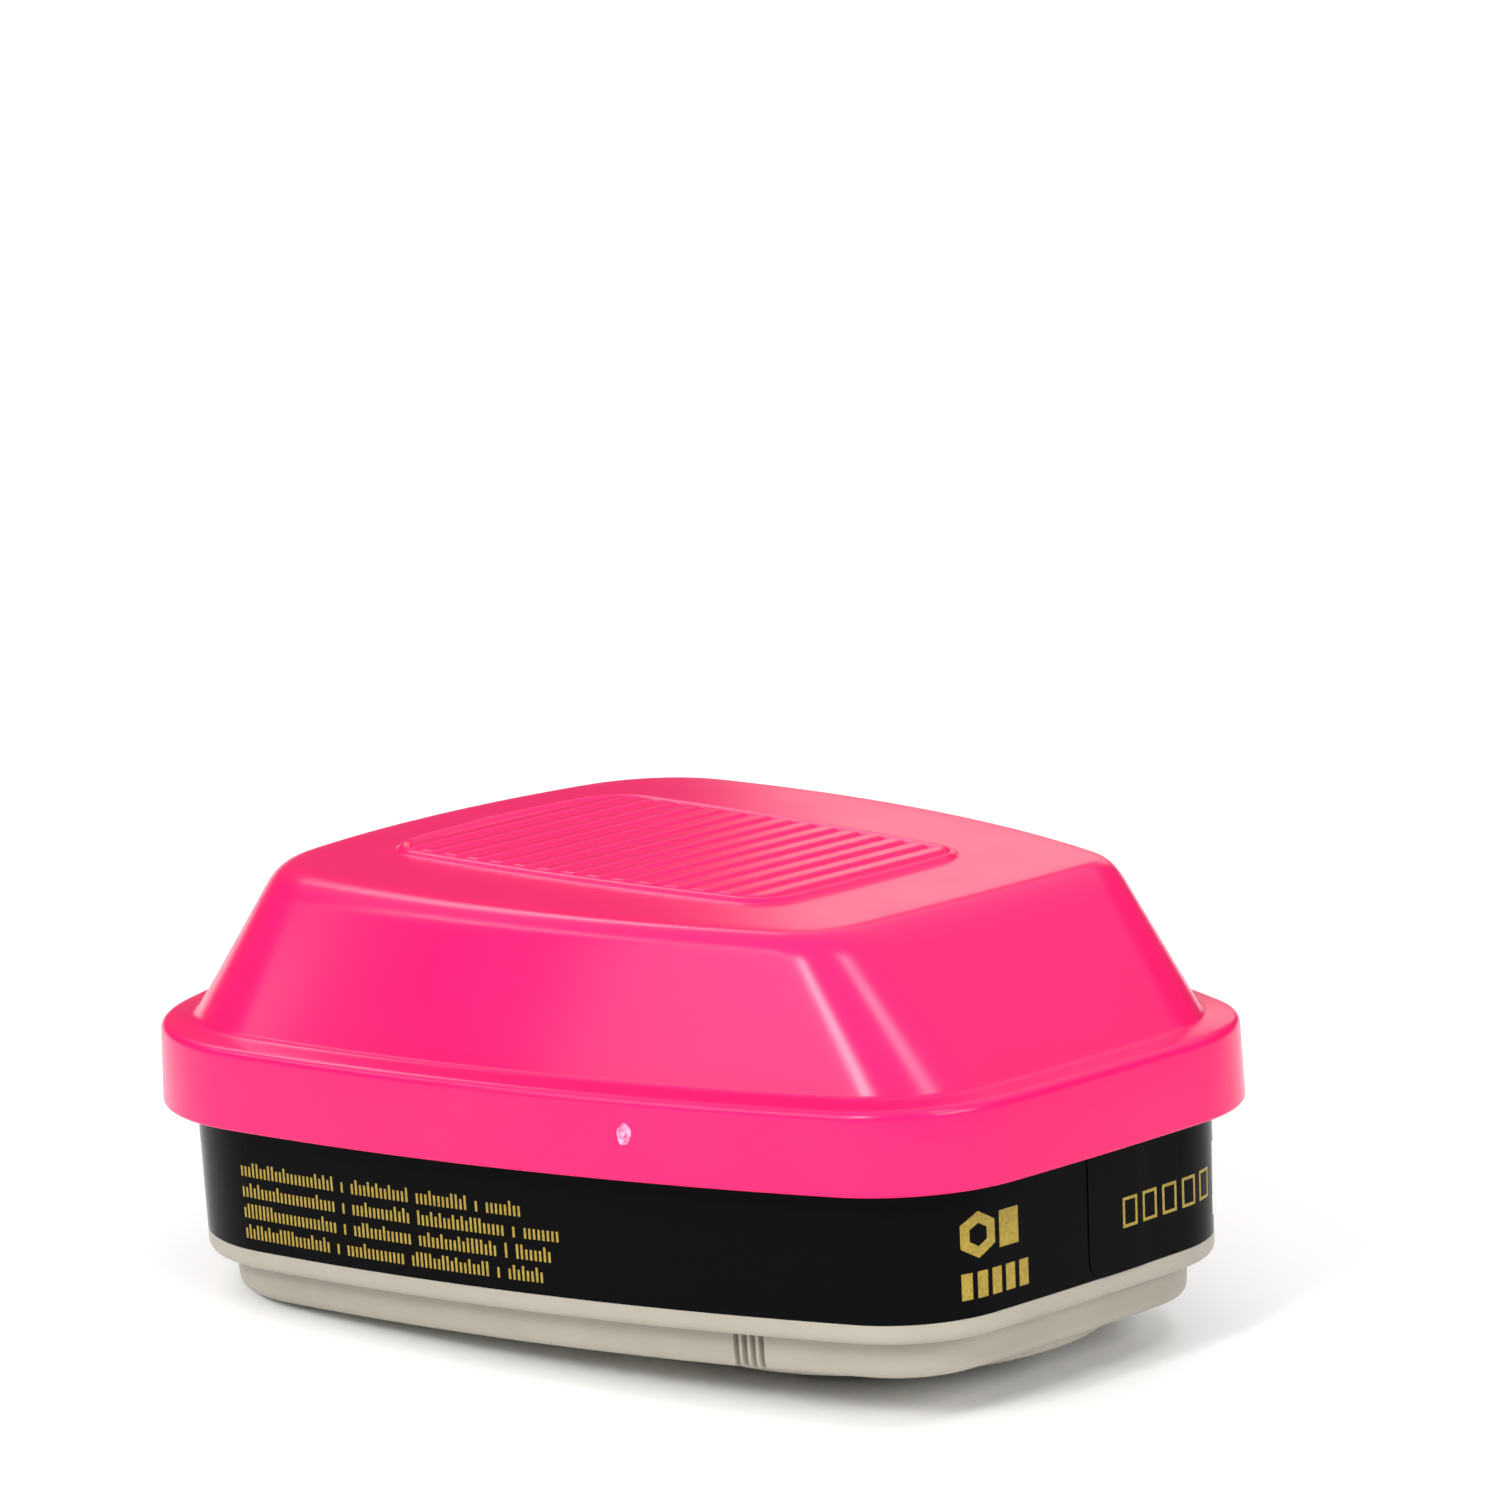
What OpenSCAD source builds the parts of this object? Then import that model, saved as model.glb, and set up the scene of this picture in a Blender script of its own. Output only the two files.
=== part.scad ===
// Respirator cartridge: a sealed canister of carbon under a pleated particulate filter, with a
// bayonet port below. Millimetres. The dome is up (+Z) and the wide end points along +X. The origin
// is the centre of the port, in the plane of its sealing bead, which is the lowest point.

/* [Canister outline] */
// Distance from the port axis to the narrow end of the canister
port_to_narrow_end = 27.8; // [27:0.1:29]
// Radius of the slightly bowed narrow end
narrow_end_r = 384; // [300:1:450]
// Radius of the two corners beside the narrow end
narrow_corner_r = 12.3; // [11.5:0.1:13]
// Radius of the two bowed long sides
long_side_r = 242; // [235:1:250]
// Radius of the two corners beside the wide end
wide_corner_r = 17.8; // [17:0.1:18.5]

/* [Heights above the sealing bead] */
// Flat face of the back lid
lid_face_z = 3.2; // [3:0.1:3.5]
// Underside of the canister's rim, where the back lid steps in
rim_bottom_z = 7.4; // [7.1:0.1:7.7]
// Lower edge of the label
label_bottom_z = 9.4; // [9:0.1:9.8]
// Lower edge of the cover's skirt
skirt_bottom_z = 22.7; // [22:0.1:23.4]
// Top of the shoulder between the skirt and the dome
shoulder_z = 31.1; // [30.9:0.1:31.4]
// Flat top of the dome
top_z = 45.7; // [45:0.1:47]

/* [Cover] */
// How far the skirt stands out from the canister
skirt_overhang = 3.7; // [3.5:0.1:3.9]
// Wall thickness of the cover
cover_wall = 1.2; // [1:0.05:1.3]
// Number of ribs in the grip panel on the dome
grip_ribs = 15; // [10:1:18]
// Height of the grip ribs and their frame
grip_height = 0.5; // [0.3:0.1:0.7]

/* [Port] */
// Radius of the broad boss at its foot
boss_r = 23.1; // [22:0.1:24]
// Radius of the upper step of the boss
boss_step_r = 17.8; // [17:0.1:18.5]
// Outer radius of the sealing bead
bead_r = 14.5; // [14.4:0.1:15]
// Radius across the tips of the bayonet lugs
lug_r = 11.2; // [10.8:0.1:11.6]
// Radius of the notches between the bayonet lugs
notch_r = 12.8; // [12.6:0.1:13]
// Radius of the socket behind the lugs
socket_r = 13.3; // [13.2:0.05:13.5]
// Thickness of the bayonet lugs
lug_thickness = 2.2; // [1.8:0.1:2.4]

/* [Filter] */
// Number of pleats
pleats = 17; // [10:1:19]
// Thickness of the pleated filter sheet
filter_sheet = 0.5; // [0.4:0.1:0.7]

/* [Canister] */
// Wall thickness of the canister
canister_wall = 1.4; // [1.2:0.1:1.6]
// Thickness of the label
label_thickness = 0.15; // [0.1:0.05:0.2]

/* [Hidden] */
$fn = 96;

// An outline is five arcs in turn from the narrow end round to the wide end, mirrored about X. Each
// pair of arcs meets in a common tangent, at an angle counted from the narrow end.
canister_radii = [narrow_end_r, narrow_corner_r, long_side_r, wide_corner_r];
canister_turns = [2, 69, 85.75, 155.6];
dome_radii = [395.3, 8, 141.3, 13.4];
dome_turns = [2.3, 71.2, 95.9, 167.5];
port_to_dome_top = 15.3;
arc_steps = [1, 5, 5, 6, 3];

magenta = [0.93, 0.07, 0.37];
beige = [0.80, 0.75, 0.66];
white = [0.93, 0.93, 0.91];
black = [0.03, 0.03, 0.03];

// Heights inside the canister and the cover
lid_plate = 1.6;
socket_wall = 1.6;
spider_z = 6.4;
scrim_z = 8.1;
scrim_thickness = 1;
grille_z = 26.4;
grille_thickness = 1.3;
frame_z = 28.3;
flange_thickness = 1;
collar_bottom_z = 23.7;
pleat_bottom_z = 29.5;
pleat_top_z = 40;
clearance = 0.03;

// The lid, its rounded lower edge, and the spigot that fits inside the canister
lid_inset = 2.9;
lid_edge_r = 1.2;
edge_steps = 3;
lid_wall = 1.5;
spigot_gap = 0.1;

// Rounded lower edge of the canister's rim
rim_edge_r = 1.2;

// Slope of the dome wall from the shoulder to the top, and the wall of the filter pack inside it
dome_rise = top_z - shoulder_z;
pack_blend = 0.75;
pack_gap = 1.5;
pack_wall = 1.1;
sealant_width = 1.4;

// Collar of the filter frame, which hangs inside the skirt
collar_outer = 2;
collar_inner = 1.2;

// Port: height of the bead over the upper step, seat of the bayonet ring, and face of the broad boss
bead_height = 0.7;
ring_seat_r = 13.9;
boss_top_z = 1.6;

// Unit vector out of an arc at angle a
function outward(a) = [-cos(a), sin(a)];

// Radius of the last arc, which closes the half outline on the X axis
function closing_radius(r, t) = r[3] + ((r[0] - r[1]) * sin(t[0]) + (r[1] - r[2]) * sin(t[1])
    + (r[2] - r[3]) * sin(t[2])) / sin(t[3]);

// Centre of arc k
function arc_centre(start, r, t, k) = k == 0 ? [r[0] - start, 0]
    : arc_centre(start, r, t, k - 1) + (r[k - 1] - r[k]) * outward(t[k - 1]);

// Closed outline that starts a distance start from the port axis and is offset outwards by grow
function outline(start, radii, turns, grow) =
    let (r = concat(radii, closing_radius(radii, turns)), t = concat(0, turns, 180),
        half = concat([for (k = [0 : 4], i = [0 : arc_steps[k] - 1])
            arc_centre(start, r, turns, k)
                + (r[k] + grow) * outward(t[k] + (t[k + 1] - t[k]) * i / arc_steps[k])],
            [arc_centre(start, r, turns, 4) + [r[4] + grow, 0]]),
        last = len(half) - 1)
    concat(half, [for (i = [last - 1 : -1 : 1]) [half[i].x, -half[i].y]]);

function canister_outline(grow) =
    outline(port_to_narrow_end, canister_radii, canister_turns, grow);

// Outline part of the way from the canister's at 0 to the flat top of the dome's at 1
function dome_outline(blend, grow) = (1 - blend) * canister_outline(grow)
    + blend * outline(port_to_dome_top, dome_radii, dome_turns, grow);

function ring_at(z, points) = [for (p = points) [p.x, p.y, z]];

function dome_ring(z, grow) = ring_at(z, dome_outline((z - shoulder_z) / dome_rise, grow));

// Closed solid through rings of equal length, from the first ring's cap to the last ring's
module skin(rings) {
    n = len(rings[0]);
    last = (len(rings) - 1) * n;
    first_cap = [for (i = [n - 1 : -1 : 0]) i];
    last_cap = [for (i = [0 : n - 1]) last + i];
    sides = [for (k = [0 : len(rings) - 2], i = [0 : n - 1])
        let (a = k * n + i, b = k * n + (i + 1) % n)
        each [[a, b, a + n], [b, b + n, a + n]]];
    polyhedron([for (ring = rings) each ring], concat([first_cap], sides, [last_cap]));
}

// Wall of even height between two outlines
module wall(outer, inner, bottom, top) {
    translate([0, 0, bottom]) linear_extrude(top - bottom) difference() {
        polygon(outer);
        polygon(inner);
    }
}

module slab(points, bottom, top) {
    translate([0, 0, bottom]) linear_extrude(top - bottom) polygon(points);
}

// Grip panel: a frame with bowed sides, filled with broad ribs that run across the dome
panel_radii = [300, 5, 305, 6];
panel_turns = [1.9, 83, 91.5, 170];
port_to_panel = 1;
panel_frame = 1.3;
first_rib_x = 2.8;
rib_pitch = 3.45;
rib_width = 1.9;
rib_gap = 0.3;
sink = 0.3;

function panel_outline(grow) = outline(port_to_panel, panel_radii, panel_turns, grow);

module grip_panel() {
    reach = 2 * long_side_r;
    linear_extrude(grip_height + sink) {
        difference() {
            polygon(panel_outline(0));
            polygon(panel_outline(-panel_frame));
        }
        intersection() {
            polygon(panel_outline(-panel_frame - rib_gap));
            for (i = [0 : grip_ribs - 1])
                translate([first_rib_x + i * rib_pitch - rib_width / 2, -reach / 2])
                    square([rib_width, reach]);
        }
    }
}

// Magenta cover: skirt, shoulder and dome in one thin shell, which rests on posts on the filter frame
module filter_cover() {
    under_shoulder_z = shoulder_z - cover_wall;
    under_top_z = top_z - cover_wall;
    color(magenta) {
        skin([
            ring_at(under_top_z, dome_outline((under_top_z - shoulder_z) / dome_rise, -cover_wall)),
            dome_ring(shoulder_z + 0.3, -1.1 * cover_wall),
            ring_at(under_shoulder_z, canister_outline(-0.6)),
            ring_at(under_shoulder_z - 0.2, canister_outline(skirt_overhang - 1.5 * cover_wall)),
            ring_at(under_shoulder_z - 1, canister_outline(skirt_overhang - 1.1 * cover_wall)),
            ring_at(skirt_bottom_z, canister_outline(skirt_overhang - 0.85 * cover_wall)),
            ring_at(skirt_bottom_z, canister_outline(skirt_overhang)),
            ring_at(shoulder_z - 1.5, canister_outline(skirt_overhang - 0.2)),
            ring_at(shoulder_z - 0.5, canister_outline(skirt_overhang - 0.6)),
            ring_at(shoulder_z - 0.15, canister_outline(skirt_overhang - 1.4)),
            ring_at(shoulder_z + 0.1, canister_outline(0.4)),
            dome_ring(shoulder_z + 0.9, -0.15),
            dome_ring(top_z - 2.3, 0),
            dome_ring(top_z - 1.2, -0.25),
            dome_ring(top_z - 0.35, -1.2),
            dome_ring(top_z, -2.8)]);
        translate([0, 0, top_z - sink]) grip_panel();
        posts();
    }
}

// Posts under the shoulder, which hold the cover clear of the frame so that air gets in
post_r = 1.1;
post_places = [[-26.8, 12], [-8, 29.8], [20, 36.3], [48, 39.6], [68, 26]];

module posts() {
    for (place = post_places, side = [-1, 1])
        translate([place.x, side * place.y, frame_z + flange_thickness + clearance])
            cylinder(r = post_r, h = shoulder_z - cover_wall / 2 - frame_z - flange_thickness);
}

// Beige frame that holds the pleats: a collar inside the skirt, a flange and the pack's wall
module filter_frame() {
    flange_top_z = frame_z + flange_thickness;
    color(beige) {
        wall(canister_outline(collar_outer), canister_outline(collar_inner),
            collar_bottom_z, frame_z + 0.2);
        wall(canister_outline(collar_outer), dome_outline(pack_blend, -pack_gap - pack_wall),
            frame_z, flange_top_z);
        wall(dome_outline(pack_blend, -pack_gap), dome_outline(pack_blend, -pack_gap - pack_wall),
            flange_top_z - 0.2, pleat_top_z);
    }
}

// Section of the filter sheet: flat-tipped folds along the upper face, and back along the lower face
function pleat_section(start, end) =
    let (t = filter_sheet, half_pitch = (end - start) / (2 * pleats),
        upper = [for (i = [1 : 2 * pleats - 1]) let (x = start + i * half_pitch)
            each i % 2 == 1 ? [[x - t, pleat_top_z], [x + t, pleat_top_z]] : [[x, pleat_bottom_z + t]]],
        lower = [for (i = [2 * pleats - 1 : -1 : 1]) let (x = start + i * half_pitch)
            each i % 2 == 1 ? [[x, pleat_top_z - t]]
                : [[x + t, pleat_bottom_z], [x - t, pleat_bottom_z]]])
    concat([[start + t, pleat_bottom_z], [start, pleat_bottom_z]], upper,
        [[end, pleat_bottom_z], [end - t, pleat_bottom_z]], lower);

module pleated_filter() {
    pack = dome_outline(pack_blend, -pack_gap - pack_wall - sealant_width);
    start = min([for (p = pack) p.x]) + filter_sheet;
    end = max([for (p = pack) p.x]) - filter_sheet;
    reach = 2 * max([for (p = pack) p.y]);
    color(white) intersection() {
        translate([0, reach / 2, 0]) rotate([90, 0, 0])
            linear_extrude(reach) polygon(pleat_section(start, end));
        slab(pack, pleat_bottom_z - 1, pleat_top_z + 1);
    }
}

module filter_sealant() {
    color([0.86, 0.82, 0.68])
        wall(dome_outline(pack_blend, -pack_gap - pack_wall - clearance),
            dome_outline(pack_blend, -pack_gap - pack_wall - sealant_width + clearance),
            pleat_bottom_z, pleat_top_z);
}

// Square grid of bars across the inlet
grille_bar = 1.4;
grille_spacing = 6.5;
grille_reach = 9;
grille_centre_x = 22.5;
grille_border = 5;

module grille() {
    side = 2 * (grille_reach + 1) * grille_spacing;
    for (i = [-grille_reach : grille_reach]) {
        translate([grille_centre_x + i * grille_spacing - grille_bar / 2, -side / 2])
            square([grille_bar, side]);
        translate([grille_centre_x - side / 2, i * grille_spacing - grille_bar / 2])
            square([side, grille_bar]);
    }
}

// Inset and height above the bottom of each step up a rounded lower edge of radius r
function edge_inset(r, k) = r * (1 - sin(90 * (k + 0.5) / edge_steps));
function edge_height(r, k) = r * (1 - cos(90 * k / edge_steps));

// Canister: a cup that opens downwards, with a thicker rim below the label and a grille on top
module canister_body() {
    inner_inset = label_thickness + canister_wall;
    inner = canister_outline(-inner_inset);
    color(beige) {
        for (k = [0 : edge_steps - 1])
            wall(canister_outline(-edge_inset(rim_edge_r, k)), inner,
                rim_bottom_z + edge_height(rim_edge_r, k),
                rim_bottom_z + edge_height(rim_edge_r, k + 1));
        wall(canister_outline(0), inner, rim_bottom_z + rim_edge_r, label_bottom_z);
        wall(canister_outline(-label_thickness - clearance), inner, label_bottom_z, frame_z - clearance);
        wall(canister_outline(0.1 - inner_inset), canister_outline(-inner_inset - grille_border),
            grille_z, grille_z + grille_thickness);
        translate([0, 0, grille_z]) linear_extrude(grille_thickness) intersection() {
            polygon(canister_outline(0.2 - inner_inset - grille_border));
            grille();
        }
    }
}

module inlet_scrim() {
    color(white) slab(canister_outline(-label_thickness - canister_wall - 2 * clearance),
        grille_z - scrim_thickness, grille_z - clearance);
}

module carbon_bed() {
    color(black) slab(canister_outline(-label_thickness - canister_wall - 2 * clearance),
        label_bottom_z + 0.1, grille_z - scrim_thickness - clearance);
}

module outlet_scrim() {
    color(white) slab(
        canister_outline(-lid_inset - lid_wall - clearance), scrim_z, label_bottom_z + 0.1 - clearance);
}

// Half section of the lid's port: the boss, its upper step, the sealing bead and the socket wall.
// The edges of the boss, the step and the bead are rounded off.
module port_section() {
    socket_bottom_z = lug_thickness + 0.05;
    socket_outer_r = socket_r + socket_wall;
    plate_r = boss_r + 0.6;
    plate_top_z = lid_face_z + lid_plate;
    socket = [[ring_seat_r, socket_bottom_z], [socket_r, socket_bottom_z],
        [socket_r, scrim_z - clearance], [socket_outer_r, scrim_z - clearance],
        [socket_outer_r, boss_top_z + lid_plate], [boss_r - 1 - lid_plate, boss_top_z + lid_plate],
        [boss_r - 0.5 - lid_plate, plate_top_z], [plate_r, plate_top_z], [plate_r, lid_face_z]];
    boss = [[boss_r, lid_face_z - 0.3], [boss_r - 0.5, boss_top_z + 0.9],
        [boss_r - 0.9, boss_top_z + 0.25], [boss_r - 1.6, boss_top_z]];
    step = [[boss_step_r + 0.7, boss_top_z], [boss_step_r + 0.3, boss_top_z - 0.1],
        [boss_step_r, bead_height + 0.2], [boss_step_r - 0.3, bead_height]];
    bead = [[bead_r, bead_height], [bead_r, 0.12], [bead_r - 0.12, 0], [ring_seat_r + 0.12, 0],
        [ring_seat_r, 0.12]];
    polygon(concat(socket, boss, step, bead));
}

// Three spokes and a hub, deep in the port, which keep the scrim out of the socket
spoke_angles = [85, 199.6, 322.1];
spoke_width = 1.8;
spoke_depth = 1.6;
hub_r = 2.3;

module spider() {
    translate([0, 0, spider_z]) {
        cylinder(r = hub_r, h = spoke_depth);
        for (a = spoke_angles)
            rotate([0, 0, a]) translate([0, -spoke_width / 2, 0])
                cube([socket_r + 0.5, spoke_width, spoke_depth]);
    }
}

// Recess with a nub where the lid was moulded, and four grooves in its long side
gate_x = 46.9;
gate_recess_r = 3;
gate_depth = 0.4;
gate_nub_r = 1;
mark_x = -7.6;
mark_grooves = 4;
mark_pitch = 0.87;
mark_groove_r = 0.3;

module back_lid() {
    outer = canister_outline(-lid_inset);
    inner = canister_outline(-lid_inset - lid_wall);
    spigot = canister_outline(-label_thickness - canister_wall - spigot_gap);
    plate_top_z = lid_face_z + lid_plate;
    long_side = [for (p = outer) if (p.y > 0) [p.x, p.y]];
    color(beige) {
        difference() {
            union() {
                for (k = [0 : edge_steps - 1])
                    slab(canister_outline(-lid_inset - edge_inset(lid_edge_r, k)),
                        lid_face_z + edge_height(lid_edge_r, k),
                        lid_face_z + edge_height(lid_edge_r, k + 1));
                slab(outer, lid_face_z + lid_edge_r, plate_top_z);
                wall(outer, inner, plate_top_z, rim_bottom_z);
                wall(spigot, inner, rim_bottom_z, label_bottom_z);
            }
            translate([0, 0, -1]) cylinder(r = boss_r + 0.5, h = plate_top_z + 2);
            translate([gate_x, 0, lid_face_z - 1])
                cylinder(r1 = gate_recess_r + 1.6, r2 = gate_recess_r - 2.4, h = 1 + gate_depth);
            for (i = [0 : mark_grooves - 1])
                let (x = mark_x + (i - (mark_grooves - 1) / 2) * mark_pitch)
                    translate([x, lookup(x, long_side) + 0.05, lid_face_z - 1])
                        cylinder(r = mark_groove_r, h = rim_bottom_z + 0.8 - lid_face_z, $fn = 24);
        }
        translate([gate_x, 0, lid_face_z + 0.05]) cylinder(r = gate_nub_r, h = 1);
        rotate_extrude() port_section();
        spider();
    }
}

// Each lug's first and last angle. They differ, so that the cartridge fits in one way only.
lug_spans = [[8.2, 89.4], [117.3, 182], [246, 328.9]];
lug_step = 4;
coding_tooth_angle = 209.5;
stop_notch_angle = 75.1;
tooth_size = 0.8;

// One lug: a stretch of a flat ring from one angle to another
module lug(from, to) {
    steps = ceil((to - from) / lug_step);
    sector = concat([[0, 0]], [for (i = [0 : steps])
        let (a = from + (to - from) * i / steps) 1.5 * notch_r * [cos(a), sin(a)]]);
    linear_extrude(lug_thickness) intersection() {
        difference() {
            circle(r = notch_r + 0.1);
            circle(r = lug_r);
        }
        polygon(sector);
    }
}

// Insert with three unequal lugs, a small coding tooth and a stop notch
module bayonet_ring() {
    color(beige) difference() {
        union() {
            difference() {
                cylinder(r = ring_seat_r - clearance, h = lug_thickness);
                translate([0, 0, -1]) cylinder(r = notch_r, h = lug_thickness + 2);
            }
            for (span = lug_spans)
                lug(span[0], span[1]);
            rotate([0, 0, coding_tooth_angle]) translate([notch_r - tooth_size, -tooth_size / 2, 0])
                cube([tooth_size + 0.2, tooth_size, lug_thickness]);
        }
        rotate([0, 0, stop_notch_angle]) translate([lug_r - tooth_size, -tooth_size / 2, -1])
            cube([2 * tooth_size, tooth_size, lug_thickness + 2]);
    }
}

module label() {
    color(black) wall(canister_outline(0), canister_outline(-label_thickness),
        label_bottom_z + clearance, frame_z - 0.3);
}

filter_cover();
filter_frame();
pleated_filter();
filter_sealant();
canister_body();
inlet_scrim();
carbon_bed();
outlet_scrim();
back_lid();
bayonet_ring();
label();
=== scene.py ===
"""Respirator cartridge: the looks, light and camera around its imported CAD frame.

Lengths in the build functions are in millimetres and are scaled to metres when a mesh is made.
"""
import math

import bpy
import numpy as np
from mathutils import Matrix, Vector
from mathutils.geometry import tessellate_polygon


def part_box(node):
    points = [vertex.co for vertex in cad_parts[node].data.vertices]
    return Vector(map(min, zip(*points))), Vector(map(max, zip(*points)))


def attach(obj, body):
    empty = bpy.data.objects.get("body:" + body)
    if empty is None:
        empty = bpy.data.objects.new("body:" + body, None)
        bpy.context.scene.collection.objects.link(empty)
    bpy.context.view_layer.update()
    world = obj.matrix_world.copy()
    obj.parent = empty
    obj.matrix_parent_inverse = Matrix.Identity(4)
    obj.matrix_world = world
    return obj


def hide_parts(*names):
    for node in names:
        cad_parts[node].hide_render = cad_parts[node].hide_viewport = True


MM = 0.001  # metres in a millimetre
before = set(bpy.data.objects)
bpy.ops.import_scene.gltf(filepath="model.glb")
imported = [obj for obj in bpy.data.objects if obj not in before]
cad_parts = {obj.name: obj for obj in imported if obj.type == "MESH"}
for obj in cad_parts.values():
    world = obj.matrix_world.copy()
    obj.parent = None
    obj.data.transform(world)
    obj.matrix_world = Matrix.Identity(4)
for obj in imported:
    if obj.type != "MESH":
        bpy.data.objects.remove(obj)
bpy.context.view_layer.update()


def node_z(name):
    """Lowest and highest z of a CAD node, in millimetres."""
    low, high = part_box(name)
    return low.z / MM, high.z / MM


# ---------------------------------------------------------------- sizes, as in the CAD model

LABEL_LOW, LABEL_HIGH = node_z("label")
RIM_LOW, CANISTER_HIGH = node_z("canister_body")
SKIRT_LOW, COVER_HIGH = node_z("filter_cover")
FRAME_LOW, FRAME_HIGH = node_z("filter_frame")
SCRIM_LOW, SCRIM_HIGH = node_z("outlet_scrim")
RING_LOW, RING_HIGH = node_z("bayonet_ring")

GRIP_HEIGHT = 0.5
TOP_Z = COVER_HIGH - GRIP_HEIGHT
SHOULDER_Z = 31.1
COVER_WALL = 1.2
SKIRT_OVERHANG = 3.64
LID_FACE_Z = 3.2
LID_INSET = 2.9
LID_WALL = 1.5
LABEL_THICKNESS = 0.15
CANISTER_WALL = 1.4

BOSS_R = 23.1
BOSS_TOP_Z = 1.6
STEP_R = 17.8
BEAD_R = 14.5
BEAD_HEIGHT = 0.7
RING_SEAT_R = 13.9
NOTCH_R = 12.8
LUG_R = 11.2
SOCKET_R = 13.3
# Angles round the port are in degrees
LUG_SPANS = ((8.2, 89.4), (117.3, 182), (246, 328.9))
CODING_TOOTH_ANGLE = 209.5
STOP_NOTCH_ANGLE = 75.1
TOOTH_HALF_ANGLE = 1.9
TOOTH_DEPTH = 0.75
SPOKE_ANGLES = (85, 199.6, 322.1)
SPIDER_Z = 6.4
SPIDER_DEPTH = 1.6
LID_GATE_X = 46.9
GROOVES = 4
GROOVES_X = -7.6
GROOVE_PITCH = 0.87


# ---------------------------------------------------------------- outlines


class Outline:
    """Closed curve of five arcs from the narrow end to the wide end, mirrored about X.

    The first arc starts at x = -start. Four radii are given, and the fifth closes the curve. The
    turns are the directions, in degrees, in which each arc hands over to the next.
    A place on it is a number from 0 to 10: the arc's index plus the fraction along it, and past 5
    the mirrored half.
    """

    def __init__(self, start, radii, turns):
        bends = np.radians(turns)
        steps = sum((radii[k] - radii[k + 1]) * math.sin(bends[k]) for k in range(3))
        self.radii = np.array([*radii, radii[3] + steps / math.sin(bends[3])])
        self.turns = np.radians([0, *turns, 180])
        centres = [np.array([radii[0] - start, 0.0])]
        for k in range(4):
            out = np.array([-math.cos(bends[k]), math.sin(bends[k])])
            centres.append(centres[-1] + (self.radii[k] - self.radii[k + 1]) * out)
        self.centres = np.array(centres)

    def at(self, places, grow=0.0):
        """Points at the given places, on the outline offset outwards by grow."""
        places = np.asarray(places, float) % 10
        side = np.where(places > 5, -1.0, 1.0)
        half = np.where(places > 5, 10 - places, places)
        arc = np.minimum(half.astype(int), 4)
        angle = self.turns[arc] + (self.turns[arc + 1] - self.turns[arc]) * (half - arc)
        out = np.stack([-np.cos(angle), np.sin(angle)], 1)
        points = self.centres[arc] + (self.radii[arc] + grow)[:, None] * out
        points[:, 1] *= side
        return points

    def normals(self, places):
        return self.at(places, 1.0) - self.at(places, 0.0)


CANISTER = Outline(27.8, (384, 12.3, 242, 17.8), (2, 69, 85.75, 155.6))
DOME = Outline(15.3, (395.3, 8, 141.3, 13.4), (2.3, 71.2, 95.9, 167.5))
PANEL = Outline(1, (300, 5, 305, 6), (1.9, 83, 91.5, 170))


# The canister's outline in fine steps, and the distance run along it from the narrow end's middle
FINE_PLACES = np.linspace(0, 10, 20001)
FINE_POINTS = CANISTER.at(FINE_PLACES)
FINE_STEPS = np.linalg.norm(np.diff(FINE_POINTS, axis=0), axis=1)
FINE_RUN = np.concatenate([[0], np.cumsum(FINE_STEPS)])
PERIMETER = FINE_RUN[-1]


def place_at_run(run):
    """Place on the canister's outline a given distance along it from the narrow end's middle."""
    return np.interp(np.asarray(run, float) % PERIMETER, FINE_RUN, FINE_PLACES)


def place_at_x(x, grow, samples):
    """Place in the +Y half where the canister's outline, offset by grow, passes x."""
    fine = np.linspace(0, 5, samples)
    return fine[np.argmin(np.abs(CANISTER.at(fine, grow)[:, 0] - x))]


def even_places(spacing, dense_at=None, dense_reach=0.0, dense_spacing=1.0):
    """Places round the canister about one spacing apart, and closer together near dense_at."""
    gap = np.full(len(FINE_STEPS), float(spacing))
    if dense_at is not None:
        middle = (FINE_POINTS[1:] + FINE_POINTS[:-1]) / 2
        near = (np.abs(middle[:, 0] - dense_at) < dense_reach) & (middle[:, 1] > 0)
        gap[near] = dense_spacing
    count = np.concatenate([[0], np.cumsum(FINE_STEPS / gap)])
    total = int(round(count[-1]))
    return np.interp(np.arange(total) * count[-1] / total, count, FINE_PLACES)


def blend_outline(places, blend, grow):
    """Outline part of the way from the canister's at 0 to the dome top's at 1."""
    return (1 - blend) * CANISTER.at(places, grow) + blend * DOME.at(places, grow)


# ---------------------------------------------------------------- mesh helpers


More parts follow.
